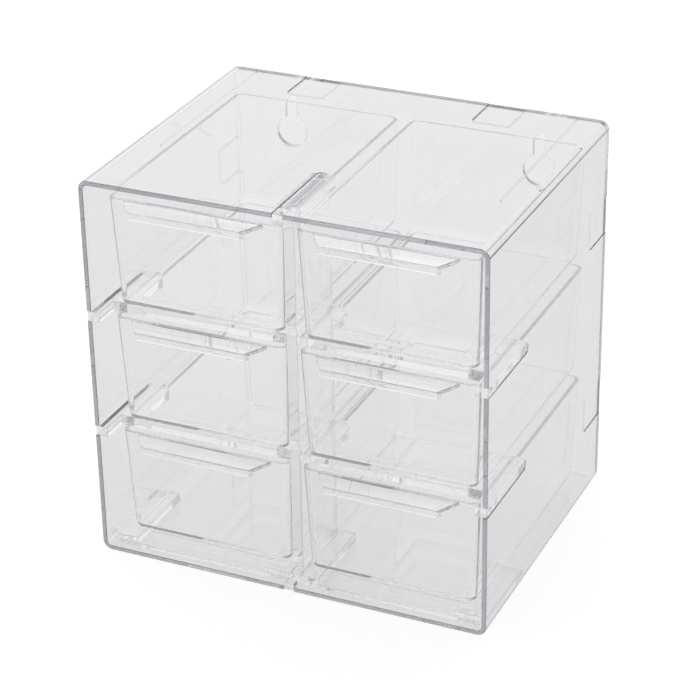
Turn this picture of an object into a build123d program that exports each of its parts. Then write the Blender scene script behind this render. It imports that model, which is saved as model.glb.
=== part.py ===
from build123d import *

import os
from math import atan, degrees

os.makedirs("parts", exist_ok=True)

# A clear desktop storage box: two columns of three open-topped drawers in an
# open-fronted casing, with a slotted-in front frame and a pressed-in back panel.
# Millimetres, +X right, -Y front, +Z up. The origin is the middle of the base.

# Drawers
drawer_width = 75.1  # across the rim
drawer_depth = 115.0  # front to back along the rim
drawer_height = 46.55
drawer_draft = 1.8  # each side stands in this much at the bottom
drawer_wall = 1.6
drawer_floor = 1.6
drawer_corner = 4.0  # corner radius in plan, at the rim
drawer_base_round = 2.0  # outer radius round the bottom
drawer_inner_round = 0.6
rim_round = 0.35

# Grip lip along the front of each rim, with a down-turned edge to pull on
lip_root_width = 60.0
lip_tip_width = 48.0
lip_reach = 8.4
lip_drop = 0.8
lip_thickness = 1.8
lip_edge_height = 3.3  # front face of the down-turned edge
lip_edge_thickness = 1.8
lip_nose_round = 0.6

# Casing
casing_wall = 2.0
casing_edge_round = 4.0
casing_rim_round = 0.35
front_setback = 8.5  # drawer rims behind the casing's front rim
rear_gap = 7.0  # drawers to the back panel
top_space = 7.55  # top drawers' rims to the ceiling
side_gap = 5.2  # drawer rims to the side walls
slot_depth = 42.0  # slots in the four walls, open at the front rim
rib_setback = 11.0  # ribs under the ceiling, to the side walls
rib_start = 44.0  # behind the casing's front rim
rib_end_gap = 0.3  # ribs to the back panel
rib_width = 0.8
rib_height = 0.8

# Front frame: a post, two cross bars and a base, held by tongues in the slots
rows = 3
bar_thickness = 4.4
post_width = 4.4
post_gap = 0.5  # post to each drawer rim
rim_clearance = 0.5  # drawer rims to the bar above
seat_clearance = 0.3  # drawers to the bar below
slot_clearance = 0.05
wall_clearance = 0.05  # frame to the casing's inside faces
post_front = 9.5  # behind the casing's front rim
bar_front = 12.0
bar_depth = 8.0
side_runner_width = 12.5
centre_runner_width = 23.0
runner_corner = 6.0
cheek_width = 3.5  # strip along each slot, in front of the bars
tongue_setback = 0.3
head_width = 10.0
base_pad = 4.3  # height of the pads below the bottom drawers
base_front = 3.5
base_strip_depth = 11.5
base_strip_thickness = 1.6

# Back panel
panel_thickness = 2.0
panel_clearance = 0.08
keyhole_spacing = 112.0
keyhole_drop = 26.7  # centre of each round opening below the casing's top
keyhole_radius = 6.85
keyhole_slot_width = 5.0
keyhole_slot_drop = 11.2  # the slot's upper end below the casing's top

# Tabs of the back panel, pressed into notches in the casing's rear rim
tab_spacing_x = 82.5
tab_spacing_z = 84.3
notch_width = 16.2
notch_depth = 20.0
notch_corner = 1.0
tab_clearance = 0.15  # round each tab in its notch
tab_setback = 0.3  # tab's face below the casing's outer face
tab_root = 1.5  # how far a tab reaches into the plate

# Derived sizes
pitch = drawer_height + rim_clearance + bar_thickness + seat_clearance
column_offset = post_width / 2 + post_gap + drawer_width / 2
inner_half_width = column_offset + drawer_width / 2 + side_gap
first_rim = casing_wall + base_pad + seat_clearance + drawer_height
top_rim = first_rim + (rows - 1) * pitch
ceiling = top_rim + top_space
casing_width = 2 * (inner_half_width + casing_wall)
casing_height = ceiling + casing_wall
casing_depth = front_setback + drawer_depth + rear_gap + panel_thickness
front_y = -casing_depth / 2
rear_y = casing_depth / 2
slot_height = bar_thickness + 2 * slot_clearance
keyhole_height = casing_height - keyhole_drop
draft_angle = degrees(atan(drawer_draft / drawer_height))
bar_levels = [first_rim + rim_clearance + pitch * row for row in range(rows - 1)]
drawer_y = front_y + front_setback + drawer_depth / 2


def slot_outline(start_y, end_y, width):
    """Straight bar in the sketch, along its X from start_y, with a round far end."""
    length = end_y - start_y - width / 2
    with Locations((start_y + length / 2, 0)):
        Rectangle(length, width)
    with Locations((end_y - width / 2, 0)):
        Circle(width / 2)


def wall_plane(side, height):
    """Plane on a side wall's inner face, its X axis running back and Z outwards."""
    return Plane((side * inner_half_width, front_y, height), x_dir=(0, 1, 0), z_dir=(side, 0, 0))


def level_plane(height, direction):
    """Level plane at mid width, its X axis running back from the front rim."""
    return Plane((0, front_y, height), x_dir=(0, 1, 0), z_dir=(0, 0, direction))


def tab_sites():
    """Planes on the casing's inner faces, X running forward from the rear edge, Z outwards."""
    sites = []
    for sign in (-1, 1):
        x = sign * tab_spacing_x / 2
        z = casing_height / 2 + sign * tab_spacing_z / 2
        sites.append(Plane((x, rear_y, ceiling), x_dir=(0, -1, 0), z_dir=(0, 0, 1)))
        sites.append(Plane((x, rear_y, casing_wall), x_dir=(0, -1, 0), z_dir=(0, 0, -1)))
        sites.append(Plane((-inner_half_width, rear_y, z), x_dir=(0, -1, 0), z_dir=(-1, 0, 0)))
        sites.append(Plane((inner_half_width, rear_y, z), x_dir=(0, -1, 0), z_dir=(1, 0, 0)))
    return sites


# Casing: a sleeve, open at the front and at the back
with BuildPart() as casing:
    with BuildSketch(Plane.XZ.offset(-rear_y)):
        with Locations((0, casing_height / 2)):
            RectangleRounded(casing_width, casing_height, casing_edge_round)
            RectangleRounded(
                casing_width - 2 * casing_wall,
                casing_height - 2 * casing_wall,
                casing_edge_round - casing_wall,
                mode=Mode.SUBTRACT,
            )
    extrude(amount=casing_depth)
    fillet(casing.faces().sort_by(Axis.Y)[0].edges(), casing_rim_round)
    # Slots for the frame's tongues: two in each side wall, one above and one below
    for level in bar_levels:
        for side in (-1, 1):
            with BuildSketch(wall_plane(side, level + bar_thickness / 2)):
                slot_outline(-casing_wall, slot_depth, slot_height)
            extrude(amount=casing_wall, mode=Mode.SUBTRACT)
    for height, direction in ((ceiling, 1), (casing_wall, -1)):
        with BuildSketch(level_plane(height, direction)):
            slot_outline(-casing_wall, slot_depth, post_width + 2 * slot_clearance)
        extrude(amount=casing_wall, mode=Mode.SUBTRACT)
    # Notches for the back panel's tabs, open at the rear rim
    for site in tab_sites():
        with BuildSketch(site):
            RectangleRounded(2 * notch_depth, notch_width, notch_corner)
        extrude(amount=casing_wall, mode=Mode.SUBTRACT)
    # Two low ribs under the ceiling, from behind the frame to the back panel
    rib_length = casing_depth - rib_start - panel_thickness - rib_end_gap
    with BuildSketch(Plane.XY.offset(ceiling - rib_height)):
        for side in (-1, 1):
            rib_x = side * (inner_half_width - rib_setback)
            with Locations((rib_x, front_y + rib_start + rib_length / 2)):
                Rectangle(rib_width, rib_length)
    extrude(amount=rib_height)
casing.part.label = "casing"
export_step(casing.part, "parts/casing.step")

# Back panel: a flat plate with two keyholes to hang the box, and eight tabs
with BuildPart() as back_panel:
    with BuildSketch(Plane.XZ.offset(-rear_y)):
        with Locations((0, casing_height / 2)):
            RectangleRounded(
                2 * (inner_half_width - panel_clearance),
                casing_height - 2 * (casing_wall + panel_clearance),
                casing_edge_round - casing_wall,
            )
        for side in (-1, 1):
            x = side * keyhole_spacing / 2
            slot_end = casing_height - keyhole_slot_drop - keyhole_slot_width / 2
            with Locations((x, keyhole_height)):
                Circle(keyhole_radius, mode=Mode.SUBTRACT)
            with Locations((x, (keyhole_height + slot_end) / 2)):
                Rectangle(keyhole_slot_width, slot_end - keyhole_height, mode=Mode.SUBTRACT)
            with Locations((x, slot_end)):
                Circle(keyhole_slot_width / 2, mode=Mode.SUBTRACT)
    extrude(amount=panel_thickness)
    tab_width = notch_width - 2 * tab_clearance
    tab_length = notch_depth - tab_clearance
    for site in tab_sites():
        with BuildSketch(site):
            RectangleRounded(2 * tab_length, tab_width, notch_corner - tab_clearance)
            with Locations((-tab_length / 2, 0)):
                Rectangle(tab_length, tab_width, mode=Mode.SUBTRACT)
        extrude(amount=casing_wall - tab_setback)
        with BuildSketch(site.offset(-tab_root)):
            with Locations((panel_thickness / 2, 0)):
                Rectangle(panel_thickness, tab_width)
        extrude(amount=tab_root)
back_panel.part.label = "back_panel"
export_step(back_panel.part, "parts/back_panel.step")

# Front frame: one moulding that slides into the slots and guides the drawers,
# from below by its runners and from above by the bar over each rim
frame_half_width = inner_half_width - wall_clearance
tongue_reach = casing_wall + wall_clearance - tongue_setback
runner_end = front_y + slot_depth - slot_clearance
side_runner_x = frame_half_width - side_runner_width / 2
runner_length = runner_end - (front_y + bar_front)
with BuildPart() as front_frame:
    # Post between the columns
    post_bottom = casing_wall + wall_clearance
    post_top = ceiling - wall_clearance
    with BuildSketch(Plane.XY.offset(post_bottom)):
        with Locations((0, (front_y + post_front + runner_end) / 2)):
            Rectangle(post_width, runner_end - front_y - post_front)
    extrude(amount=post_top - post_bottom)
    # Cross bars with a runner at each wall and on both sides of the post
    for level in bar_levels:
        with BuildSketch(Plane.XY.offset(level)):
            with Locations((0, front_y + bar_front + bar_depth / 2)):
                Rectangle(2 * frame_half_width, bar_depth)
            with Locations((0, front_y + bar_front + runner_length / 2)):
                Rectangle(centre_runner_width, runner_length)
            for side in (-1, 1):
                with Locations((side * side_runner_x, front_y + bar_front + runner_length / 2)):
                    Rectangle(side_runner_width, runner_length)
                cheek_length = bar_front - tongue_setback
                cheek_x = side * (frame_half_width - cheek_width / 2)
                with Locations((cheek_x, front_y + tongue_setback + cheek_length / 2)):
                    Rectangle(cheek_width, cheek_length)
        extrude(amount=bar_thickness)
        for side in (-1, 1):
            with BuildSketch(wall_plane(side, level + bar_thickness / 2).offset(-wall_clearance)):
                slot_outline(tongue_setback, slot_depth - slot_clearance, bar_thickness)
            extrude(amount=tongue_reach)
    # Runner ends are rounded off in plan
    inner_ends = (
        front_frame.edges()
        .filter_by(Axis.Z)
        .filter_by(lambda edge: abs(edge.center().Y - runner_end) < slot_clearance)
        .filter_by(lambda edge: abs(edge.center().X) > centre_runner_width / 3)
        .filter_by(lambda edge: abs(edge.center().X) < frame_half_width - cheek_width)
    )
    fillet(inner_ends, runner_corner)
    # Head over the top drawers' rims, and the strip in front of it along the slot
    head_bottom = top_rim + rim_clearance
    with BuildSketch(Plane.XY.offset(head_bottom)):
        with Locations((0, (front_y + post_front + runner_end) / 2)):
            Rectangle(head_width, runner_end - front_y - post_front)
    extrude(amount=post_top - head_bottom)
    with BuildSketch(Plane.XY.offset(post_top - cheek_width)):
        with Locations((0, front_y + (tongue_setback + post_front) / 2)):
            Rectangle(post_width, post_front - tongue_setback)
    extrude(amount=cheek_width)
    # Base: a foot round the post, a pad at each wall and a low strip between them
    with BuildSketch(Plane.XY.offset(post_bottom)):
        base_length = runner_end - (front_y + base_front)
        with Locations((0, front_y + base_front + base_length / 2)):
            Rectangle(centre_runner_width, base_length)
        for side in (-1, 1):
            with Locations((side * side_runner_x, front_y + base_front + base_length / 2)):
                Rectangle(side_runner_width, base_length)
    extrude(amount=base_pad - wall_clearance)
    with BuildSketch(Plane.XY.offset(post_bottom)):
        with Locations((0, front_y + base_front + base_strip_depth / 2)):
            Rectangle(2 * (frame_half_width - side_runner_width / 2), base_strip_depth)
    extrude(amount=base_strip_thickness)
    # The pads' lower edges clear the rounded corners inside the casing
    pad_edges = (
        front_frame.edges()
        .filter_by(Axis.Y)
        .filter_by(lambda edge: edge.center().Z < post_bottom + slot_clearance)
        .filter_by(lambda edge: abs(edge.center().X) > frame_half_width - slot_clearance)
    )
    fillet(pad_edges, casing_edge_round - casing_wall)
    # Tongues in the slots above and below the post
    for height, direction in ((post_top, 1), (post_bottom, -1)):
        with BuildSketch(level_plane(height, direction)):
            slot_outline(tongue_setback, slot_depth - slot_clearance, post_width)
        extrude(amount=tongue_reach)
front_frame.part.label = "front_frame"
export_step(front_frame.part, "parts/front_frame.step")


def grip_lip(column_x, rim_z):
    """Lip that a finger pulls, joined to the front wall just below the rim."""
    rim_front = drawer_y - drawer_depth / 2
    root_y = rim_front + drawer_wall / 2
    tip_y = rim_front - lip_reach
    bend_y = tip_y + lip_edge_thickness
    bend_drop = lip_drop * (rim_front - bend_y) / lip_reach
    edge_bottom = rim_z - lip_drop - lip_edge_height
    with BuildPart() as lip:
        with BuildSketch(Plane.YZ.offset(column_x)):
            with BuildLine():
                Polyline(
                    (root_y, rim_z),
                    (rim_front, rim_z),
                    (tip_y, rim_z - lip_drop),
                    (tip_y, edge_bottom),
                    (bend_y, edge_bottom),
                    (bend_y, rim_z - bend_drop - lip_thickness),
                    (rim_front, rim_z - lip_thickness),
                    (root_y, rim_z - lip_thickness),
                    close=True,
                )
            make_face()
        extrude(amount=lip_root_width / 2, both=True)
        # Seen from above the lip narrows towards its tip
        with BuildSketch(Plane.XY.offset(edge_bottom)):
            with BuildLine():
                Polyline(
                    (column_x - lip_root_width / 2, root_y),
                    (column_x - lip_root_width / 2, rim_front),
                    (column_x - lip_tip_width / 2, tip_y),
                    (column_x + lip_tip_width / 2, tip_y),
                    (column_x + lip_root_width / 2, rim_front),
                    (column_x + lip_root_width / 2, root_y),
                    close=True,
                )
            make_face()
        extrude(amount=lip_drop + lip_edge_height, mode=Mode.INTERSECT)
        nose = lip.faces().sort_by(Axis.Y)[0].edges().filter_by(Axis.X)
        fillet(nose, lip_nose_round)
    return lip.part


def drawer(column_x, rim_z, name):
    """Open-topped tray with drafted walls and a grip lip, written as its own piece."""
    lip = grip_lip(column_x, rim_z)
    bottom = Plane((column_x, drawer_y, rim_z - drawer_height))
    inside = bottom.offset(drawer_floor)
    # Draft taken up between the bottom and the top of the floor
    floor_draft = drawer_draft * drawer_floor / drawer_height
    inset = drawer_draft - floor_draft + drawer_wall
    with BuildPart() as tray:
        with BuildSketch(bottom):
            RectangleRounded(
                drawer_width - 2 * drawer_draft,
                drawer_depth - 2 * drawer_draft,
                drawer_corner - drawer_draft,
            )
        extrude(amount=drawer_height, taper=-draft_angle)
        fillet(tray.faces().sort_by(Axis.Z)[0].edges(), drawer_base_round)
        with BuildSketch(inside):
            RectangleRounded(
                drawer_width - 2 * inset,
                drawer_depth - 2 * inset,
                drawer_corner - inset,
            )
        extrude(amount=drawer_height - drawer_floor, taper=-draft_angle, mode=Mode.SUBTRACT)
        inner_floor = tray.faces().filter_by(Axis.Z).sort_by(Axis.Z)[1]
        fillet(inner_floor.edges(), drawer_inner_round)
        fillet(tray.faces().sort_by(Axis.Z)[-1].edges(), rim_round)
        add(lip)
    tray.part.label = name
    export_step(tray.part, f"parts/{name}.step")


row_names = ["bottom", "middle", "top"]
for row in range(rows):
    for side, column_name in ((-1, "left"), (1, "right")):
        drawer(side * column_offset, first_rim + row * pitch, f"{column_name}_{row_names[row]}_drawer")

print("casing", casing_width, casing_depth, casing_height)
print("rims", [round(first_rim + row * pitch, 3) for row in range(rows)], "bars", bar_levels)
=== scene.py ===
"""Dresses a clear desktop storage box: six lipped drawers in an open-fronted casing."""

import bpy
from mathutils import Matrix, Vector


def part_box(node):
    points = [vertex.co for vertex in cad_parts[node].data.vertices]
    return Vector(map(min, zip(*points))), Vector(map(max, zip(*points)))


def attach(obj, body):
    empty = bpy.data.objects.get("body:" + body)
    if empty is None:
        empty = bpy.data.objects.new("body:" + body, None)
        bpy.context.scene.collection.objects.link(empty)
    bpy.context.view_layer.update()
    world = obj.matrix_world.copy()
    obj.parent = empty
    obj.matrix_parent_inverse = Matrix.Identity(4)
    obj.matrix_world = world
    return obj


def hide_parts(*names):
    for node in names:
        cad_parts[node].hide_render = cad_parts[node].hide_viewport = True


bl_info = {
    "name": "Clear Storage Box",
    "version": (1, 0, 0),
    "blender": (4, 5, 0),
    "location": "3D View > Sidebar > Storage Box",
    "description": "Models the clear moulded pieces of a desktop storage box around its frame",
    "category": "Add Mesh",
}

from math import cos, pi, radians, sin

import bmesh
import bpy
from bpy.props import FloatProperty, FloatVectorProperty, PointerProperty
from mathutils import Matrix, Vector

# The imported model, and its box before anything is added
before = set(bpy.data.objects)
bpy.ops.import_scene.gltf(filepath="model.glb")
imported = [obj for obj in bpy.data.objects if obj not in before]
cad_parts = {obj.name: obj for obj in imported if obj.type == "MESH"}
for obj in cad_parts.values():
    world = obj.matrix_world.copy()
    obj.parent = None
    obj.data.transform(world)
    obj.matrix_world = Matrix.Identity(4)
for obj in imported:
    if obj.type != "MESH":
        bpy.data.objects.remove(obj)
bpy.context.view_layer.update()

COLUMNS = ("left", "right")
ROWS = ("bottom", "middle", "top")
AXES = (Vector((1, 0, 0)), Vector((0, 1, 0)), Vector((0, 0, 1)))

# Modelling
OVERSHOOT = 0.001  # how far a cutter runs past what it cuts
FLAT = 0.99  # cosine past which a direction counts as along an axis
NEAR = 1e-5  # places closer than this count as one
DOUBLED = NEAR / 10  # points closer than this are merged after a cut or a rounding
SHORT_EDGE = 0.001  # edges of the front frame up to this length stay sharp
SHARP = radians(50)  # edges that turn by more than this are rounded
RIM_TURN = radians(60)  # the same along a rim
SAME_PLANE = radians(0.3)  # faces that turn by less than this become one
SMOOTH_TURN = radians(40)  # faces that turn by less than this are shaded as one
TONGUE_SHORT, POST_SHORT = 1.2, 2.0  # roundings by which tongues and post end before the runners
HOLE_SIDES = 96  # of a keyhole's round opening

# How many faces a rounding has
EDGE_FACES = 3  # along rims and other small edges
NOTCH_FACES = 4  # in the corners of the notches and tabs
BASE_FACES = 6  # under the drawers and the pads
CORNER_FACES = 8  # at the corners of drawers, runners and the back panel
SLOT_FACES = 10  # for each quarter of a slot's round end
CASING_FACES = 12  # along the casing's four long edges

# Clear polystyrene, and the waves and haze of its polished surface
IOR = 1.57
CLARITY = 0.995  # share of a lamp's light that each face lets through
SHELL_DEPTH = 1.0  # share of the density in the casing and the back panel
INNER_DEPTH = 0.35  # the same in the front frame and the drawers
HAZE_SCALE, HAZE_DETAIL = 45.0, 4.0
HAZE_START, HAZE_FULL = 0.52, 0.75  # levels of the noise between which haze sets in
WAVE_SCALE, WAVE_DETAIL = 18.0, 1.0
WAVE_HEIGHT = 0.001

# Stage and camera, with angles in degrees
FLOOR_SIZE, FLOOR_LEVEL = 8.0, -0.0001
BRIGHT_TILT = 30  # how far below level the sky's bright side lies
SKY_START, SKY_FULL = -0.25, 0.40  # cosines between which the sky turns white
SKY_LEAST, SKY_MOST = 0.40, 1.0
LAMP_SIZE = (2.4, 2.0)
LAMP_POWER = 10.0
LAMP_PLACE, LAMP_TARGET = (-0.3, 0.3, 1.5), (0, 0, 0.08)
BOUNCES = 256  # light runs a long way inside the clear walls before it comes out at an edge
SENSOR, LENS = 36.0, 126.46  # in millimetres
CAMERA_PLACE = (0.3710, -0.8132, 0.5422)
VIEW_AZIMUTH, VIEW_ELEVATION, VIEW_ROLL = 24.60, 27.47, -1.02


def length(name, description, default):
    """A size in metres that a user may change."""
    return FloatProperty(
        name=name,
        description=description,
        default=default,
        min=0.0,
        unit="LENGTH",
        subtype="DISTANCE",
    )


def share(name, description, default):
    """A plain number from 0 to 1."""
    return FloatProperty(
        name=name, description=description, default=default, min=0.0, max=1.0, subtype="FACTOR"
    )


def colour(name, description, default):
    """A linear colour."""
    return FloatVectorProperty(
        name=name,
        description=description,
        default=default,
        size=3,
        min=0.0,
        max=1.0,
        subtype="COLOR",
    )


class CasingSizes(bpy.types.PropertyGroup):
    """Sizes of the outer sleeve."""

    wall: length("Wall", "Thickness of the four walls", 0.002)
    edge_round: length("Edge Round", "Radius of the four long outer edges", 0.004)
    rim_round: length("Rim Round", "Radius along the front and rear rims", 0.00035)
    cut_round: length("Cut Round", "Radius on the edges of slots and notches", 0.0001)
    slot_depth: length("Slot Depth", "Length of the slots behind the front rim", 0.042)
    bar_slot: length("Bar Slot", "Height of the slots in the side walls", 0.0045)
    post_slot: length("Post Slot", "Width of the slots above and below", 0.0045)
    notch_width: length("Notch Width", "Width of the notches in the rear rim", 0.0162)
    notch_depth: length("Notch Depth", "Length of the notches from the rear rim", 0.020)
    notch_corner: length("Notch Corner", "Radius in the corners of a notch", 0.001)
    notches_across: length("Notch Spacing Across", "Between notches in the top or the base", 0.0825)
    notches_upright: length("Notch Spacing Upright", "Between notches in a side wall", 0.0843)
    rib_setback: length("Rib Setback", "From a side wall to the rib under the ceiling", 0.011)
    rib_start: length("Rib Start", "Ribs behind the casing's front rim", 0.044)
    rib_end_gap: length("Rib End Gap", "From the ribs to the back panel", 0.0003)
    rib: length("Rib", "Width and height of a rib", 0.0008)


class PanelSizes(bpy.types.PropertyGroup):
    """Sizes of the pressed-in back panel."""

    thickness: length("Thickness", "Thickness of the plate", 0.002)
    clearance: length("Clearance", "Between the plate's edge and the casing", 0.00008)
    keyhole_spacing: length("Keyhole Spacing", "Between the two keyholes", 0.112)
    keyhole_height: length("Keyhole Height", "Centre of a round opening above the base", 0.1395)
    keyhole_radius: length("Keyhole Radius", "Radius of a round opening", 0.00685)
    keyhole_slot: length("Keyhole Slot", "Width of the slot above a round opening", 0.005)
    keyhole_top: length("Keyhole Top", "Upper end of a slot above the base", 0.155)
    tab_clearance: length("Tab Clearance", "Round each tab in its notch", 0.00015)
    tab_setback: length("Tab Setback", "Tab's face below the casing's outer face", 0.0003)
    tab_root: length("Tab Root", "How far a tab reaches into the plate", 0.0015)
    edge_round: length("Edge Round", "Radius on the moulding's edges", 0.00015)


class FrameSizes(bpy.types.PropertyGroup):
    """Sizes of the front frame that guides the drawers."""

    bar: length("Bar", "Height of the two cross bars", 0.0044)
    post: length("Post", "Width of the post between the columns", 0.0044)
    rim_clearance: length("Rim Clearance", "From a drawer's rim to the bar above", 0.0005)
    slot_clearance: length("Slot Clearance", "Round each tongue in its slot", 0.00005)
    wall_clearance: length("Wall Clearance", "From the frame to the casing's walls", 0.00005)
    post_front: length("Post Front", "Post behind the casing's front rim", 0.0095)
    bar_front: length("Bar Front", "Bars behind the casing's front rim", 0.012)
    bar_depth: length("Bar Depth", "Front to back of a bar between its runners", 0.008)
    side_runner: length("Side Runner", "Width of the runners at the walls", 0.0125)
    centre_runner: length("Centre Runner", "Width of the runner round the post", 0.023)
    runner_corner: length("Runner Corner", "Radius at the runners' rear ends", 0.006)
    cheek: length("Cheek", "Width of the strip along each slot", 0.0035)
    tongue_setback: length("Tongue Setback", "Tongues behind the casing's outer faces", 0.0003)
    head: length("Head", "Width of the head over the top drawers", 0.010)
    base_pad: length("Base Pad", "Height of the pads under the bottom drawers", 0.0043)
    base_front: length("Base Front", "Base behind the casing's front rim", 0.0035)
    strip_depth: length("Strip Depth", "Front to back of the low strip", 0.0115)
    strip: length("Strip", "Thickness of the low strip", 0.0016)
    edge_round: length("Edge Round", "Radius on the moulding's edges", 0.00025)


class DrawerSizes(bpy.types.PropertyGroup):
    """Sizes of one drawer and its grip lip."""

    draft: length("Draft", "How far each side stands in at the bottom", 0.0018)
    wall: length("Wall", "Thickness of the walls and the floor", 0.0016)
    corner: length("Corner", "Radius of the upright corners", 0.004)
    base_round: length("Base Round", "Radius round the bottom", 0.002)
    rim_round: length("Rim Round", "Radius along the rim", 0.00035)
    lip_reach: length("Lip Reach", "How far the lip stands out", 0.0084)
    lip_drop: length("Lip Drop", "How far the lip slopes down", 0.0008)
    lip_thickness: length("Lip Thickness", "Thickness of the lip", 0.0018)
    lip_edge: length("Lip Edge", "Thickness of the lip's down-turned edge", 0.0018)
    lip_edge_height: length("Lip Edge Height", "Front face of the down-turned edge", 0.0033)
    lip_root: length("Lip Root", "Width of the lip at the rim", 0.060)
    lip_tip: length("Lip Tip", "Width of the lip at its tip", 0.048)
    lip_round: length("Lip Round", "Radius on the lip's edges", 0.0005)


class PlasticLook(bpy.types.PropertyGroup):
    """Finish of the clear polystyrene."""

    tint: colour("Tint", "Colour of light through a wall", (0.998, 0.998, 0.998))
    depth_tint: colour(
        "Depth Tint", "Colour that long ways through the plastic take on", (0.84, 0.84, 0.86)
    )
    density: FloatProperty(
        name="Density",
        description="How fast the plastic takes light, for a metre",
        default=30.0,
        min=0.0,
    )
    roughness: share("Roughness", "Least roughness of the polished faces", 0.012)
    smudge: share("Smudge", "Roughness that faint haze adds in patches", 0.035)
    waviness: share("Waviness", "Strength of the slow waves of moulded walls", 0.02)


class StageLook(bpy.types.PropertyGroup):
    """Floor and studio light."""

    floor: colour("Floor", "Colour of the floor", (0.50, 0.50, 0.50))
    glow: share("Glow", "Even light from the floor itself, as from a lit table", 0.40)
    lift: share("Lift", "Glow that brings the floor up to white where it is seen directly", 0.27)


def edit(piece, kind, chosen):
    """Opens a piece for editing with just the elements selected that pass a test."""
    bpy.ops.object.select_all(action="DESELECT")
    piece.select_set(True)
    bpy.context.view_layer.objects.active = piece
    bpy.ops.object.mode_set(mode="EDIT")
    bpy.ops.mesh.select_mode(type=kind)
    bpy.ops.mesh.select_all(action="DESELECT")
    mesh = bmesh.from_edit_mesh(piece.data)
    mesh.normal_update()
    elements = {"VERT": mesh.verts, "EDGE": mesh.edges, "FACE": mesh.faces}[kind]
    for element in elements:
        if chosen(element):
            element.select_set(True)
    mesh.select_flush_mode()
    bmesh.update_edit_mesh(piece.data)


def leave():
    """Back to object mode."""
    bpy.ops.object.mode_set(mode="OBJECT")


def middle(edge):
    """Place halfway along an edge."""
    return (edge.verts[0].co + edge.verts[1].co) / 2


def runs_along(edge, axis):
    """True for an edge that lies along the axis with this number."""
    way = edge.verts[1].co - edge.verts[0].co
    return abs(way.normalized()[axis]) > FLAT


def block(name, low, high):
    """A box between two corners, with its place in its mesh."""
    low, high = Vector(low), Vector(high)
    bpy.ops.object.select_all(action="DESELECT")
    bpy.ops.mesh.primitive_cube_add(size=1.0, location=(low + high) / 2, scale=high - low)
    made = bpy.context.object
    made.name = made.data.name = name
    bpy.ops.object.transform_apply(location=True, rotation=True, scale=True)
    return made


def round_edges(piece, chosen, width, steps):
    """Rounds the chosen edges to a radius."""
    edit(piece, "EDGE", chosen)
    bpy.ops.mesh.bevel(offset=width, segments=steps, profile=0.5, affect="EDGES")
    leave()


def apply(piece, kind, **settings):
    """Adds a modifier, sets it and applies it."""
    bpy.ops.object.select_all(action="DESELECT")
    piece.select_set(True)
    bpy.context.view_layer.objects.active = piece
    modifier = piece.modifiers.new(kind, kind)
    for name, value in settings.items():
        setattr(modifier, name, value)
    bpy.ops.object.modifier_apply(modifier=modifier.name)


def combine(piece, others, operation):
    """Joins other solids to a piece, or cuts them out of it, all at once, and removes them."""
    bpy.ops.object.select_all(action="DESELECT")
    for other in others:
        other.select_set(True)
    bpy.context.view_layer.objects.active = others[0]
    bpy.ops.object.join()
    apply(piece, "BOOLEAN", object=others[0], operation=operation, solver="EXACT", use_self=True)
    bpy.data.objects.remove(others[0])
    clean(piece)
    # Flat faces that the cuts split become one again
    edit(piece, "FACE", lambda face: True)
    bpy.ops.mesh.dissolve_limited(angle_limit=SAME_PLANE)
    leave()


def clean(piece):
    """Merges points that rounding doubled, and drops edges and faces of no size."""
    edit(piece, "FACE", lambda face: True)
    bpy.ops.mesh.remove_doubles(threshold=DOUBLED)
    bpy.ops.mesh.dissolve_degenerate(threshold=DOUBLED)
    leave()


def slot_block(name, low, high, end_axis, across_axis):
    """A bar whose far end along one axis is made round, for a slot or the tongue in it."""
    made = block(name, low, high)
    low, high = Vector(low), Vector(high)
    end_place = high[end_axis]
    through_axis = 3 - end_axis - across_axis
    radius = (high - low)[across_axis] / 2

    def at_end(edge):
        return runs_along(edge, through_axis) and abs(middle(edge)[end_axis] - end_place) < NEAR

    round_edges(made, at_end, radius, SLOT_FACES)
    # The two roundings meet in the middle, where their points become one
    edit(made, "VERT", lambda vert: True)
    bpy.ops.mesh.remove_doubles(threshold=NEAR)
    leave()
    return made


def stands_out(edge):
    """True for a sharp edge that points outwards."""
    return edge.is_convex and edge.calc_face_angle(0) > SHARP


def on_level(edge):
    """True for an edge that lies level."""
    return abs(edge.verts[0].co.z - edge.verts[1].co.z) < NEAR


def rim_edge(edge, axis, place):
    """True for the sharp edges of a rim that lies at one place along an axis."""
    if any(abs(vert.co[axis] - place) > NEAR for vert in edge.verts):
        return False
    return len(edge.link_faces) == 2 and edge.calc_face_angle(0) > RIM_TURN


def narrow(scale, x):
    """Scales what is selected across the box, about one place."""
    bpy.ops.transform.resize(value=(scale, 1, 1), center_override=(x, 0, 0))


def round_sharp(piece, width):
    """Rounds every edge that is still sharp."""
    apply(
        piece,
        "BEVEL",
        width=width,
        segments=EDGE_FACES,
        limit_method="ANGLE",
        angle_limit=SHARP,
        use_clamp_overlap=False,
    )


def finish_piece(piece, body, nodes, material):
    """Smooths the shading and hangs the piece on its body."""
    bpy.ops.object.select_all(action="DESELECT")
    piece.select_set(True)
    bpy.context.view_layer.objects.active = piece
    bpy.ops.object.shade_smooth_by_angle(angle=SMOOTH_TURN)
    apply(piece, "WEIGHTED_NORMAL", keep_sharp=True, weight=100)
    piece.data.materials.clear()
    piece.data.materials.append(material)
    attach(piece, body)
    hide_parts(*nodes)


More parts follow.
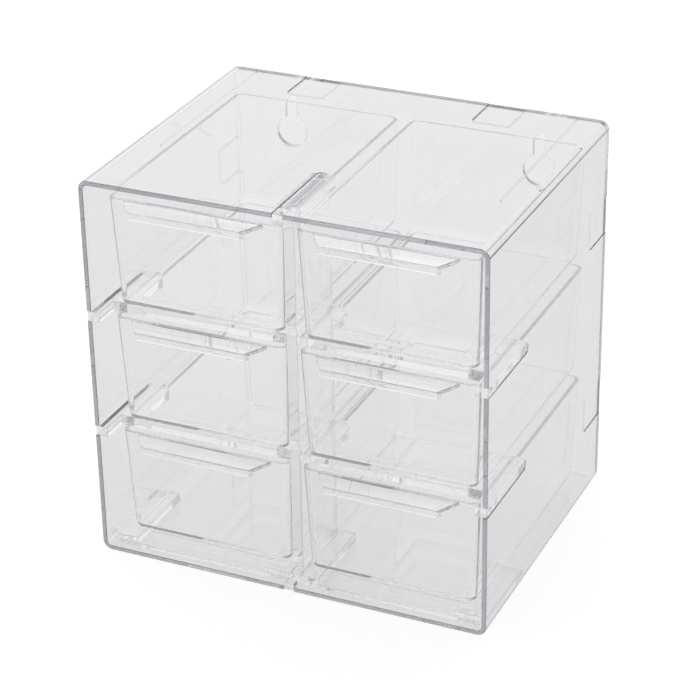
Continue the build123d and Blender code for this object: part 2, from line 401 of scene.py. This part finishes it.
def tab_places(casing, low, high):
    """Matrices that put a thing made at the origin on the casing's inner faces.

    Its X axis runs forward from the rear rim and its Z axis outwards.
    """
    places = []
    wall = casing.wall
    for sign in (-1, 1):
        x = sign * casing.notches_across / 2
        z = (low.z + high.z) / 2 + sign * casing.notches_upright / 2
        for spot, outwards in (
            (Vector((x, high.y, high.z - wall)), AXES[2]),
            (Vector((x, high.y, low.z + wall)), -AXES[2]),
            (Vector((low.x + wall, high.y, z)), -AXES[0]),
            (Vector((high.x - wall, high.y, z)), AXES[0]),
        ):
            forward = -AXES[1]
            across = outwards.cross(forward)
            turned = Matrix((forward, across, outwards)).transposed()
            places.append(Matrix.Translation(spot) @ turned.to_4x4())
    return places


def bar_levels(sizes):
    """Undersides of the two cross bars, over the bottom and middle drawers."""
    return [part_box(f"left_{row}_drawer")[1].z + sizes.rim_clearance for row in ROWS[:-1]]


def place_copies(source, places):
    """One copy of a piece at each place, each with its own mesh, and the source removed."""
    copies = []
    for place in places:
        bpy.ops.object.select_all(action="DESELECT")
        source.select_set(True)
        bpy.context.view_layer.objects.active = source
        bpy.ops.object.duplicate()
        copy = bpy.context.object
        copy.matrix_world = place
        bpy.ops.object.transform_apply(location=True, rotation=True, scale=True)
        copies.append(copy)
    bpy.data.objects.remove(source)
    return copies


def moulded_surface():
    """Node group: the slow waves and hazy patches of a polished moulding."""
    found = bpy.data.node_groups.get("moulded_surface")
    if found:
        return found
    group = bpy.data.node_groups.new("moulded_surface", "ShaderNodeTree")
    sockets = group.interface
    sockets.new_socket("Position", in_out="INPUT", socket_type="NodeSocketVector")
    sockets.new_socket("Roughness", in_out="INPUT", socket_type="NodeSocketFloat")
    sockets.new_socket("Smudge", in_out="INPUT", socket_type="NodeSocketFloat")
    sockets.new_socket("Waviness", in_out="INPUT", socket_type="NodeSocketFloat")
    sockets.new_socket("Roughness", in_out="OUTPUT", socket_type="NodeSocketFloat")
    sockets.new_socket("Normal", in_out="OUTPUT", socket_type="NodeSocketVector")
    nodes, links = group.nodes, group.links
    inside = nodes.new("NodeGroupInput")
    outside = nodes.new("NodeGroupOutput")
    haze = nodes.new("ShaderNodeTexNoise")
    haze.inputs["Scale"].default_value = HAZE_SCALE
    haze.inputs["Detail"].default_value = HAZE_DETAIL
    patches = nodes.new("ShaderNodeMapRange")
    patches.inputs["From Min"].default_value = HAZE_START
    patches.inputs["From Max"].default_value = HAZE_FULL
    added = nodes.new("ShaderNodeMath")
    added.operation = "MULTIPLY_ADD"
    waves = nodes.new("ShaderNodeTexNoise")
    waves.inputs["Scale"].default_value = WAVE_SCALE
    waves.inputs["Detail"].default_value = WAVE_DETAIL
    bump = nodes.new("ShaderNodeBump")
    bump.inputs["Distance"].default_value = WAVE_HEIGHT
    links.new(inside.outputs["Position"], haze.inputs["Vector"])
    links.new(inside.outputs["Position"], waves.inputs["Vector"])
    links.new(haze.outputs["Fac"], patches.inputs["Value"])
    links.new(patches.outputs["Result"], added.inputs[0])
    links.new(inside.outputs["Smudge"], added.inputs[1])
    links.new(inside.outputs["Roughness"], added.inputs[2])
    links.new(added.outputs["Value"], outside.inputs["Roughness"])
    links.new(waves.outputs["Fac"], bump.inputs["Height"])
    links.new(inside.outputs["Waviness"], bump.inputs["Strength"])
    links.new(bump.outputs["Normal"], outside.inputs["Normal"])
    return group


def clear_plastic(name, look, depth_share):
    """Clear polystyrene that bends light and takes some of it on long ways inside.

    Shadow rays go straight through, so that the lamp lights the floor under the box.
    """
    found = bpy.data.materials.get(name)
    if found:
        return found
    material = bpy.data.materials.new(name)
    material.use_nodes = True
    nodes, links = material.node_tree.nodes, material.node_tree.links
    nodes.clear()
    place = nodes.new("ShaderNodeTexCoord")
    surface = nodes.new("ShaderNodeGroup")
    surface.node_tree = moulded_surface()
    surface.inputs["Roughness"].default_value = look.roughness
    surface.inputs["Smudge"].default_value = look.smudge
    surface.inputs["Waviness"].default_value = look.waviness
    plastic = nodes.new("ShaderNodeBsdfPrincipled")
    plastic.inputs["Base Color"].default_value = (*look.tint, 1)
    plastic.inputs["Transmission Weight"].default_value = 1.0
    plastic.inputs["IOR"].default_value = IOR
    passing = nodes.new("ShaderNodeBsdfTransparent")
    passing.inputs["Color"].default_value = (CLARITY, CLARITY, CLARITY, 1)
    path = nodes.new("ShaderNodeLightPath")
    mix = nodes.new("ShaderNodeMixShader")
    depth = nodes.new("ShaderNodeVolumeAbsorption")
    depth.inputs["Color"].default_value = (*look.depth_tint, 1)
    depth.inputs["Density"].default_value = look.density * depth_share
    output = nodes.new("ShaderNodeOutputMaterial")
    links.new(place.outputs["Object"], surface.inputs["Position"])
    links.new(surface.outputs["Roughness"], plastic.inputs["Roughness"])
    links.new(surface.outputs["Normal"], plastic.inputs["Normal"])
    links.new(path.outputs["Is Shadow Ray"], mix.inputs["Fac"])
    links.new(plastic.outputs["BSDF"], mix.inputs[1])
    links.new(passing.outputs["BSDF"], mix.inputs[2])
    links.new(mix.outputs["Shader"], output.inputs["Surface"])
    links.new(depth.outputs["Volume"], output.inputs["Volume"])
    return material


class STORAGEBOX_OT_casing(bpy.types.Operator):
    """Model the outer sleeve with its slots, rear notches and ceiling ribs"""

    bl_idname = "storage_box.casing"
    bl_label = "Casing"

    def execute(self, context):
        sizes = context.scene.casing_sizes
        low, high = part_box("casing")
        casing = block("casing_moulding", low, high)
        edit(casing, "FACE", lambda face: abs(face.normal.y) > FLAT)
        bpy.ops.mesh.delete(type="FACE")
        leave()
        round_edges(casing, lambda edge: runs_along(edge, 1), sizes.edge_round, CASING_FACES)
        apply(casing, "SOLIDIFY", thickness=sizes.wall, offset=-1.0, use_even_offset=True)

        def rims(edge):
            return rim_edge(edge, 1, low.y) or rim_edge(edge, 1, high.y)

        round_edges(casing, rims, sizes.rim_round, EDGE_FACES)
        combine(casing, self.cutters(sizes, low, high), "DIFFERENCE")
        combine(casing, self.ribs(sizes, low, high, context.scene.panel_sizes), "UNION")
        round_sharp(casing, sizes.cut_round)
        finish_piece(
            casing,
            "box",
            ["casing"],
            clear_plastic("clear_shell_plastic", context.scene.plastic_look, SHELL_DEPTH),
        )
        return {"FINISHED"}

    def ribs(self, sizes, low, high, panel):
        """Two low ribs under the ceiling, running back to the panel."""
        ceiling = high.z - sizes.wall
        start, end = low.y + sizes.rib_start, high.y - panel.thickness - sizes.rib_end_gap
        made = []
        for x in (low.x + sizes.wall + sizes.rib_setback, high.x - sizes.wall - sizes.rib_setback):
            near, far = x - sizes.rib / 2, x + sizes.rib / 2
            under, inside = ceiling - sizes.rib, ceiling + sizes.wall / 2
            made.append(block("rib", (near, start, under), (far, end, inside)))
        return made

    def cutters(self, sizes, low, high):
        """Solids for the slots at the front and the notches at the back."""
        slot_start = low.y - OVERSHOOT
        slot_end = low.y + sizes.slot_depth
        frame_sizes = bpy.context.scene.frame_sizes
        made = []
        for level in bar_levels(frame_sizes):
            bottom = level - (sizes.bar_slot - frame_sizes.bar) / 2
            for near, far in ((low.x, low.x + sizes.wall), (high.x - sizes.wall, high.x)):
                made.append(
                    slot_block(
                        "slot",
                        (near - OVERSHOOT, slot_start, bottom),
                        (far + OVERSHOOT, slot_end, bottom + sizes.bar_slot),
                        end_axis=1,
                        across_axis=2,
                    )
                )
        for near, far in ((low.z, low.z + sizes.wall), (high.z - sizes.wall, high.z)):
            made.append(
                slot_block(
                    "slot",
                    (-sizes.post_slot / 2, slot_start, near - OVERSHOOT),
                    (sizes.post_slot / 2, slot_end, far + OVERSHOOT),
                    end_axis=1,
                    across_axis=0,
                )
            )
        half = sizes.notch_width / 2
        notch = block(
            "notch",
            (-sizes.notch_depth, -half, -OVERSHOOT),
            (sizes.notch_depth, half, sizes.wall + OVERSHOOT),
        )
        round_edges(notch, lambda edge: runs_along(edge, 2), sizes.notch_corner, NOTCH_FACES)
        return made + place_copies(notch, tab_places(sizes, low, high))


class STORAGEBOX_OT_back_panel(bpy.types.Operator):
    """Model the back panel with its keyholes and tabs"""

    bl_idname = "storage_box.back_panel"
    bl_label = "Back Panel"

    def execute(self, context):
        sizes = context.scene.panel_sizes
        casing = context.scene.casing_sizes
        low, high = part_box("casing")
        inset = casing.wall + sizes.clearance
        panel = block(
            "back_panel_moulding",
            (low.x + inset, high.y - sizes.thickness, low.z + inset),
            (high.x - inset, high.y, high.z - inset),
        )
        corner = casing.edge_round - casing.wall
        round_edges(panel, lambda edge: runs_along(edge, 1), corner, CORNER_FACES)
        combine(panel, self.keyholes(sizes, high), "DIFFERENCE")
        round_sharp(panel, sizes.edge_round)
        places = tab_places(casing, low, high)
        tabs = place_copies(self.tab(sizes, casing), places)
        tabs += place_copies(self.root(sizes, casing), places)
        combine(panel, tabs, "UNION")
        finish_piece(
            panel,
            "box",
            ["back_panel"],
            clear_plastic("clear_panel_plastic", context.scene.plastic_look, SHELL_DEPTH),
        )
        return {"FINISHED"}

    def keyholes(self, sizes, high):
        """Cutters for the round openings and the slots above them."""
        made = []
        front, back = high.y - sizes.thickness - OVERSHOOT, high.y + OVERSHOOT
        for side in (-1, 1):
            x = side * sizes.keyhole_spacing / 2
            bpy.ops.object.select_all(action="DESELECT")
            bpy.ops.mesh.primitive_cylinder_add(
                vertices=HOLE_SIDES,
                radius=sizes.keyhole_radius,
                depth=back - front,
                location=(x, (front + back) / 2, sizes.keyhole_height),
                rotation=(pi / 2, 0, 0),
            )
            bpy.ops.object.transform_apply(location=True, rotation=True, scale=True)
            made.append(bpy.context.object)
            half = sizes.keyhole_slot / 2
            made.append(
                slot_block(
                    "keyhole_slot",
                    (x - half, front, sizes.keyhole_height),
                    (x + half, back, sizes.keyhole_top),
                    end_axis=2,
                    across_axis=0,
                )
            )
        return made

    def tab(self, sizes, casing):
        """One tab, along X from the rear rim, with the casing's inner face at Z 0."""
        half = casing.notch_width / 2 - sizes.tab_clearance
        end = casing.notch_depth - sizes.tab_clearance
        tab = block("tab", (0, -half, 0), (end, half, casing.wall - sizes.tab_setback))
        corner = casing.notch_corner - sizes.tab_clearance

        def inner_corner(edge):
            return runs_along(edge, 2) and middle(edge).x > NEAR

        def outline(edge):
            return not runs_along(edge, 2) and middle(edge).x > NEAR

        round_edges(tab, inner_corner, corner, NOTCH_FACES)
        round_edges(tab, outline, sizes.edge_round, EDGE_FACES)
        return tab

    def root(self, sizes, casing):
        """The short block that ties a tab to the plate, placed as the tab is."""
        half = casing.notch_width / 2 - sizes.tab_clearance - sizes.edge_round
        return block("root", (0, -half, -sizes.tab_root), (sizes.thickness, half, casing.wall / 2))


class STORAGEBOX_OT_front_frame(bpy.types.Operator):
    """Model the front frame with its post, bars, runners and base"""

    bl_idname = "storage_box.front_frame"
    bl_label = "Front Frame"

    def execute(self, context):
        sizes = context.scene.frame_sizes
        casing = context.scene.casing_sizes
        low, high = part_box("casing")
        front = low.y
        wall = casing.wall + sizes.wall_clearance
        left, right = low.x + wall, high.x - wall
        bottom, top = low.z + wall, high.z - wall
        back = front + casing.slot_depth - sizes.slot_clearance
        # The tongues and the post end a little before the runners, so that all get their rounding
        tip = back - sizes.edge_round * TONGUE_SHORT
        post_end = back - sizes.edge_round * POST_SHORT
        post = block(
            "front_frame_moulding",
            (-sizes.post / 2, front + sizes.post_front, bottom),
            (sizes.post / 2, post_end, top),
        )
        parts = []
        for level in bar_levels(sizes):
            parts += self.bar(sizes, left, right, front, back, level)
            for near, far in (
                (low.x + sizes.tongue_setback, left + sizes.cheek / 2),
                (right - sizes.cheek / 2, high.x - sizes.tongue_setback),
            ):
                parts.append(
                    slot_block(
                        "tongue",
                        (near, front + sizes.tongue_setback, level),
                        (far, tip, level + sizes.bar),
                        end_axis=1,
                        across_axis=2,
                    )
                )
        parts += self.head(sizes, front, back, top)
        parts += self.base(sizes, casing, left, right, front, back, bottom)
        for near, far in (
            (low.z + sizes.tongue_setback, bottom + sizes.strip),
            (top - sizes.strip, high.z - sizes.tongue_setback),
        ):
            parts.append(
                slot_block(
                    "tongue",
                    (-sizes.post / 2, front + sizes.tongue_setback, near),
                    (sizes.post / 2, tip, far),
                    end_axis=1,
                    across_axis=0,
                )
            )
        combine(post, parts, "UNION")

        def long_and_sharp(edge):
            return stands_out(edge) and edge.calc_length() > SHORT_EDGE

        round_edges(post, long_and_sharp, sizes.edge_round, EDGE_FACES)
        clean(post)
        finish_piece(
            post,
            "box",
            ["front_frame"],
            clear_plastic("clear_frame_plastic", context.scene.plastic_look, INNER_DEPTH),
        )
        return {"FINISHED"}

    def runner(self, sizes, low, high, corners):
        """A level block with chosen rear corners rounded: -1 is the left one, 1 the right."""
        made = block("runner", low, high)
        middle_x = (low[0] + high[0]) / 2

        def rear_corner(edge):
            spot = middle(edge)
            side = 1 if spot.x > middle_x else -1
            return runs_along(edge, 2) and spot.y > high[1] - NEAR and side in corners

        round_edges(made, rear_corner, sizes.runner_corner, CORNER_FACES)
        return made

    def bar(self, sizes, left, right, front, back, level):
        """A cross bar, its three runners and the strips along the slots."""
        start = front + sizes.bar_front
        above = level + sizes.bar
        half = sizes.centre_runner / 2
        inner_left, inner_right = left + sizes.side_runner, right - sizes.side_runner
        parts = [
            block("bar", (left, start, level), (right, start + sizes.bar_depth, above)),
            self.runner(sizes, (-half, start, level), (half, back, above), (-1, 1)),
            self.runner(sizes, (left, start, level), (inner_left, back, above), (1,)),
            self.runner(sizes, (inner_right, start, level), (right, back, above), (-1,)),
        ]
        strip_front, strip_back = front + sizes.tongue_setback, start + OVERSHOOT
        for near, far in ((left, left + sizes.cheek), (right - sizes.cheek, right)):
            parts.append(block("cheek", (near, strip_front, level), (far, strip_back, above)))
        return parts

    def head(self, sizes, front, back, top):
        """The wide head over the top drawers and the strip in front of it."""
        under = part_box("left_top_drawer")[1].z + sizes.rim_clearance
        half = sizes.head / 2
        start = front + sizes.post_front
        return [
            block("head", (-half, start, under), (half, back, top)),
            block(
                "head_strip",
                (-sizes.post / 2, front + sizes.tongue_setback, top - sizes.cheek),
                (sizes.post / 2, start + OVERSHOOT, top),
            ),
        ]

    def base(self, sizes, casing, left, right, front, back, bottom):
        """The foot round the post, a pad at each wall and the low strip between them."""
        start = front + sizes.base_front
        above = bottom + sizes.base_pad - sizes.wall_clearance
        half = sizes.centre_runner / 2
        inner_left, inner_right = left + sizes.side_runner, right - sizes.side_runner
        foot = block("foot", (-half, start, bottom), (half, back, above))
        pads = []
        for near, far, outer in ((left, inner_left, left), (inner_right, right, right)):
            pad = block("pad", (near, start, bottom), (far, back, above))

            def outer_edge(edge):
                spot = middle(edge)
                return runs_along(edge, 1) and abs(spot.x - outer) < NEAR and spot.z < bottom + NEAR

            round_edges(pad, outer_edge, casing.edge_round - casing.wall, BASE_FACES)
            pads.append(pad)
        strip = block(
            "strip",
            (inner_left, start, bottom),
            (inner_right, start + sizes.strip_depth, bottom + sizes.strip),
        )
        return [foot, strip, *pads]


class STORAGEBOX_OT_drawers(bpy.types.Operator):
    """Model the six drawers with their grip lips"""

    bl_idname = "storage_box.drawers"
    bl_label = "Drawers"

    def execute(self, context):
        sizes = context.scene.drawer_sizes
        material = clear_plastic("clear_drawer_plastic", context.scene.plastic_look, INNER_DEPTH)
        for row in ROWS:
            for column in COLUMNS:
                node = f"{column}_{row}_drawer"
                piece = self.drawer(sizes, node)
                finish_piece(piece, node, [node], material)
        return {"FINISHED"}

    def drawer(self, sizes, node):
        """One tray with drafted walls, with its lip joined to the front wall."""
        low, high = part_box(node)
        rim_front = low.y + sizes.lip_reach
        tray = block(f"{node}_moulding", (low.x, rim_front, low.z), high)
        width, depth = high.x - low.x, high.y - rim_front
        drafted = ((width - 2 * sizes.draft) / width, (depth - 2 * sizes.draft) / depth, 1)
        centre = ((low.x + high.x) / 2, (rim_front + high.y) / 2, low.z)
        edit(tray, "FACE", lambda face: face.normal.z < -FLAT)
        bpy.ops.transform.resize(value=drafted, center_override=centre)
        leave()

        def bottom_edge(edge):
            return on_level(edge) and middle(edge).z < low.z + NEAR

        round_edges(tray, lambda edge: not on_level(edge), sizes.corner, CORNER_FACES)
        round_edges(tray, bottom_edge, sizes.base_round, BASE_FACES)
        edit(tray, "FACE", lambda face: face.normal.z > FLAT)
        bpy.ops.mesh.delete(type="FACE")
        leave()
        apply(tray, "SOLIDIFY", thickness=sizes.wall, offset=-1.0, use_even_offset=True)
        # The solidified rim leans with the walls, so it is made level
        edit(tray, "VERT", lambda vert: vert.co.z > high.z - sizes.wall / 2)
        bpy.ops.transform.resize(value=(1, 1, 0), center_override=(0, 0, high.z))
        leave()
        round_edges(tray, lambda edge: rim_edge(edge, 2, high.z), sizes.rim_round, EDGE_FACES)
        combine(tray, [self.lip(sizes, (low.x + high.x) / 2, rim_front, high.z)], "UNION")
        return tray

    def lip(self, sizes, x, rim_front, rim):
        """The grip lip with its clipped ends and its down-turned edge."""
        half = sizes.lip_root / 2
        tip = rim_front - sizes.lip_reach
        bend = tip + sizes.lip_edge
        # Share of the lip's reach that lies before the down-turned edge
        bend_share = (rim_front - bend) / sizes.lip_reach
        bend_width = sizes.lip_root + (sizes.lip_tip - sizes.lip_root) * bend_share
        under = rim - sizes.lip_thickness
        lip = block("lip", (x - half, bend, under), (x + half, rim_front, rim))
        edit(lip, "FACE", lambda face: face.normal.y < -FLAT)
        bpy.ops.transform.translate(value=(0, 0, -sizes.lip_drop * bend_share))
        narrow(bend_width / sizes.lip_root, x)
        step = (0, -sizes.lip_edge, -sizes.lip_drop * (1 - bend_share))
        bpy.ops.mesh.extrude_region_move(TRANSFORM_OT_translate={"value": step})
        narrow(sizes.lip_tip / bend_width, x)
        leave()

        def under_edge(face):
            return face.normal.z < -FLAT and face.calc_center_median().y < bend

        edit(lip, "FACE", under_edge)
        step = (0, 0, sizes.lip_thickness - sizes.lip_edge_height)
        bpy.ops.mesh.extrude_region_move(TRANSFORM_OT_translate={"value": step})
        bottom = (x, bend, rim - sizes.lip_drop - sizes.lip_edge_height)
        bpy.ops.transform.resize(value=(1, 1, 0), center_override=bottom)
        leave()

        def outer(edge):
            return stands_out(edge) and middle(edge).y < rim_front - NEAR

        round_edges(lip, outer, sizes.lip_round, EDGE_FACES)
        edit(lip, "FACE", lambda face: face.calc_center_median().y > rim_front - NEAR)
        into_wall = (0, sizes.wall / 2, 0)
        bpy.ops.mesh.extrude_region_move(TRANSFORM_OT_translate={"value": into_wall})
        leave()
        return lip


class STORAGEBOX_OT_stage(bpy.types.Operator):
    """Set the pale floor, the soft studio light and the camera"""

    bl_idname = "storage_box.stage"
    bl_label = "Stage"

    def execute(self, context):
        look = context.scene.stage_look
        self.floor(look)
        self.sky()
        self.lamps()
        self.camera()
        scene = context.scene
        scene.view_settings.view_transform = "Standard"
        for kind in ("max", "transmission", "glossy", "transparent_max"):
            setattr(scene.cycles, f"{kind}_bounces", BOUNCES)
        return {"FINISHED"}

    def floor(self, look):
        """A pale floor that glows a little and is lifted to white for the camera."""
        bpy.ops.object.select_all(action="DESELECT")
        bpy.ops.mesh.primitive_plane_add(size=FLOOR_SIZE, location=(0, 0, FLOOR_LEVEL))
        floor = bpy.context.object
        floor.name = "floor"
        bpy.ops.object.transform_apply(location=True, rotation=True, scale=True)
        material = bpy.data.materials.new("pale_floor")
        material.use_nodes = True
        nodes, links = material.node_tree.nodes, material.node_tree.links
        nodes.clear()
        matt = nodes.new("ShaderNodeBsdfDiffuse")
        matt.inputs["Color"].default_value = (*look.floor, 1)
        glow = nodes.new("ShaderNodeEmission")
        path = nodes.new("ShaderNodeLightPath")
        strength = nodes.new("ShaderNodeMath")
        strength.operation = "MULTIPLY_ADD"
        strength.inputs[1].default_value = look.lift
        strength.inputs[2].default_value = look.glow
        both = nodes.new("ShaderNodeAddShader")
        output = nodes.new("ShaderNodeOutputMaterial")
        links.new(path.outputs["Is Camera Ray"], strength.inputs[0])
        links.new(strength.outputs["Value"], glow.inputs["Strength"])
        links.new(matt.outputs["BSDF"], both.inputs[0])
        links.new(glow.outputs["Emission"], both.inputs[1])
        links.new(both.outputs["Shader"], output.inputs["Surface"])
        floor.data.materials.append(material)

    def sky(self):
        """White behind the box and greyer overhead and by the camera, which itself sees white."""
        world = bpy.data.worlds.new("studio")
        bpy.context.scene.world = world
        world.use_nodes = True
        nodes, links = world.node_tree.nodes, world.node_tree.links
        nodes.clear()
        place = nodes.new("ShaderNodeTexCoord")
        # How far a direction lies towards the bright side: away from the camera and a little down
        turn, tilt = radians(VIEW_AZIMUTH), radians(BRIGHT_TILT)
        along = nodes.new("ShaderNodeVectorMath")
        along.operation = "DOT_PRODUCT"
        along.inputs[1].default_value = (-sin(turn) * cos(tilt), cos(turn) * cos(tilt), -sin(tilt))
        share_of_white = nodes.new("ShaderNodeMapRange")
        share_of_white.interpolation_type = "SMOOTHSTEP"
        share_of_white.inputs["From Min"].default_value = SKY_START
        share_of_white.inputs["From Max"].default_value = SKY_FULL
        share_of_white.inputs["To Min"].default_value = SKY_LEAST
        share_of_white.inputs["To Max"].default_value = SKY_MOST
        around = nodes.new("ShaderNodeBackground")
        plain = nodes.new("ShaderNodeBackground")
        plain.inputs["Color"].default_value = (1, 1, 1, 1)
        path = nodes.new("ShaderNodeLightPath")
        mix = nodes.new("ShaderNodeMixShader")
        output = nodes.new("ShaderNodeOutputWorld")
        links.new(place.outputs["Generated"], along.inputs[0])
        links.new(along.outputs["Value"], share_of_white.inputs["Value"])
        links.new(share_of_white.outputs["Result"], around.inputs["Color"])
        links.new(path.outputs["Is Camera Ray"], mix.inputs["Fac"])
        links.new(around.outputs["Background"], mix.inputs[1])
        links.new(plain.outputs["Background"], mix.inputs[2])
        links.new(mix.outputs["Shader"], output.inputs["Surface"])

    def lamps(self):
        """One wide lamp overhead, a little behind the box."""
        data = bpy.data.lights.new("overhead", "AREA")
        data.shape = "RECTANGLE"
        data.size, data.size_y = LAMP_SIZE
        data.energy = LAMP_POWER
        lamp = bpy.data.objects.new("overhead", data)
        bpy.context.scene.collection.objects.link(lamp)
        lamp.location = LAMP_PLACE
        aim = Vector(LAMP_TARGET) - lamp.location
        lamp.rotation_euler = aim.to_track_quat("-Z", "Y").to_euler()

    def camera(self):
        """The photograph's angle, solved from the casing's corners."""
        data = bpy.data.cameras.new("camera")
        data.sensor_width = SENSOR
        data.lens = LENS
        camera = bpy.data.objects.new("camera", data)
        bpy.context.scene.collection.objects.link(camera)
        azimuth, elevation, roll = map(radians, (VIEW_AZIMUTH, VIEW_ELEVATION, VIEW_ROLL))
        level = cos(elevation)
        back = Vector((sin(azimuth) * level, -cos(azimuth) * level, sin(elevation)))
        right = (-back).cross(AXES[2]).normalized()
        up = back.cross(right)
        turned_right = right * cos(roll) + up * sin(roll)
        turned_up = up * cos(roll) - right * sin(roll)
        axes = Matrix((turned_right, turned_up, back)).transposed()
        camera.matrix_world = Matrix.Translation(CAMERA_PLACE) @ axes.to_4x4()
        bpy.context.scene.camera = camera


class STORAGEBOX_PT_sidebar(bpy.types.Panel):
    """Lists the pieces and their sizes."""

    bl_label = "Storage Box"
    bl_space_type = "VIEW_3D"
    bl_region_type = "UI"
    bl_category = "Storage Box"

    def draw(self, context):
        layout = self.layout
        for group in GROUPS:
            box = layout.box()
            settings = getattr(context.scene, group)
            for name in settings.bl_rna.properties.keys():
                if name not in ("rna_type", "name"):
                    box.prop(settings, name)
        for operator in STEPS:
            layout.operator(operator.bl_idname)


GROUPS = {
    "casing_sizes": CasingSizes,
    "panel_sizes": PanelSizes,
    "frame_sizes": FrameSizes,
    "drawer_sizes": DrawerSizes,
    "plastic_look": PlasticLook,
    "stage_look": StageLook,
}
STEPS = (
    STORAGEBOX_OT_stage,
    STORAGEBOX_OT_casing,
    STORAGEBOX_OT_back_panel,
    STORAGEBOX_OT_front_frame,
    STORAGEBOX_OT_drawers,
)


def register():
    for group in GROUPS.values():
        bpy.utils.register_class(group)
    for operator in (*STEPS, STORAGEBOX_PT_sidebar):
        bpy.utils.register_class(operator)
    for name, group in GROUPS.items():
        setattr(bpy.types.Scene, name, PointerProperty(type=group))


def unregister():
    for name in GROUPS:
        delattr(bpy.types.Scene, name)
    for operator in (STORAGEBOX_PT_sidebar, *reversed(STEPS)):
        bpy.utils.unregister_class(operator)
    for group in reversed(GROUPS.values()):
        bpy.utils.unregister_class(group)


def main():
    register()
    bpy.ops.storage_box.stage()
    bpy.ops.storage_box.casing()
    bpy.ops.storage_box.back_panel()
    bpy.ops.storage_box.front_frame()
    bpy.ops.storage_box.drawers()


if __name__ == "__main__":
    main()
